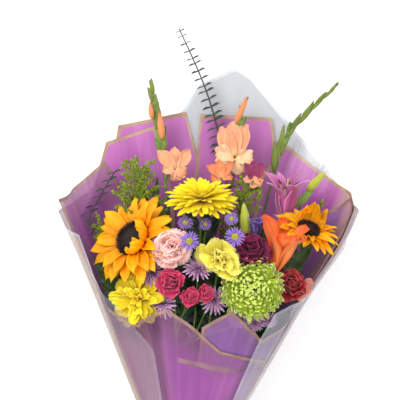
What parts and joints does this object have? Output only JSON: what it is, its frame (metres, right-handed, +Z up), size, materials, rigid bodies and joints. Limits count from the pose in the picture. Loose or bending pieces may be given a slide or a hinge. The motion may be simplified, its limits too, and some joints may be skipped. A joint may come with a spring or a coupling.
{
  "type": "mixed flower bouquet",
  "caption": "Mixed cut flowers and foliage gathered in purple and clear film wrapping and held by a tie, lying on its back.",
  "frame": {"origin": "middle of the overall box in plan, on the surface the bouquet lies on", "axes": "+Y along the bouquet from the cut stems to the blooms, +Z up, the way the blooms look, +X to the viewer's right"},
  "size_m": [0.4394, 0.8314, 0.2053],
  "materials": {
    "cellophane": "clear crinkled film",
    "purple_film": "translucent matt film with gold borders",
    "tie": "woven ribbon",
    "stem": "fresh plant stem",
    "leaf": "fresh leaf with veins",
    "sunflower_petal": "satin petal",
    "sunflower_seed": "rough seed head",
    "yellow_petal": "satin petal",
    "pink_petal": "satin petal",
    "pale_yellow_petal": "satin petal",
    "burgundy_petal": "satin petal",
    "green_petal": "satin petal",
    "hot_pink_petal": "velvet petal",
    "red_petal": "velvet petal",
    "orange_lily_petal": "satin petal",
    "pink_lily_petal": "satin striped petal",
    "aster": "satin petal",
    "mauve_daisy": "satin petal",
    "spike": "fresh flower bud",
    "peach_petal": "satin petal",
    "bell_petal": "satin petal",
    "lime_petal": "satin petal",
    "goldenrod": "fine matt florets",
    "eucalyptus": "matt waxy leaf"
  },
  "bodies": {
    "root": {"cellophane": "cellophane", "purple_sheet_back_left": "purple_film", "purple_sheet_back_centre": "purple_film", "purple_sheet_left": "purple_film", "purple_sheet_right": "purple_film", "purple_sheet_front_left": "purple_film", "purple_sheet_front_right": "purple_film", "tie_band": "tie", "sunflower_left_petals": "sunflower_petal", "sunflower_left_disc": "sunflower_seed", "sunflower_right_petals": "sunflower_petal", "sunflower_right_disc": "sunflower_seed", "gerbera_petals": "yellow_petal", "pink_carnation": "pink_petal", "pale_yellow_carnation": "pale_yellow_petal", "burgundy_carnation": "burgundy_petal", "yellow_carnation": "yellow_petal", "green_mum": "green_petal", "spray_rose_a": "hot_pink_petal", "spray_rose_b": "hot_pink_petal", "spray_rose_c": "hot_pink_petal", "red_rose": "red_petal", "orange_lily_petals": "orange_lily_petal", "pink_lily_petals": "pink_lily_petal", "aster_spray": "aster", "mauve_daisy_spray": "mauve_daisy", "sunflower_left_stem": "stem", "sunflower_right_stem": "stem", "gerbera_stem": "stem", "pink_carnation_stem": "stem", "pale_yellow_carnation_stem": "stem", "burgundy_carnation_stem": "stem", "yellow_carnation_stem": "stem", "green_mum_stem": "stem", "red_rose_stem": "stem", "spray_rose_a_stem": "stem", "orange_lily_stem": "stem", "pink_lily_stem": "stem", "pink_lily_stamens": "stem", "gladiolus_left_spike": "spike", "gladiolus_centre_spike": "spike", "gladiolus_right_spike": "spike", "gladiolus_left_flower": "peach_petal", "gladiolus_centre_flower_a": "peach_petal", "gladiolus_centre_flower_b": "peach_petal", "gladiolus_centre_flower_c": "peach_petal", "bell_flower": "bell_petal", "bell_flower_stem": "stem", "lime_bloom": "lime_petal", "lime_bloom_stem": "stem", "goldenrod_left": "goldenrod", "goldenrod_far_left": "goldenrod", "goldenrod_centre": "goldenrod", "goldenrod_right": "goldenrod", "eucalyptus_top": "eucalyptus", "eucalyptus_left": "eucalyptus", "leaf_spray_left": "leaf", "leaf_spray_right": "leaf"}
  },
  "joints": []
}
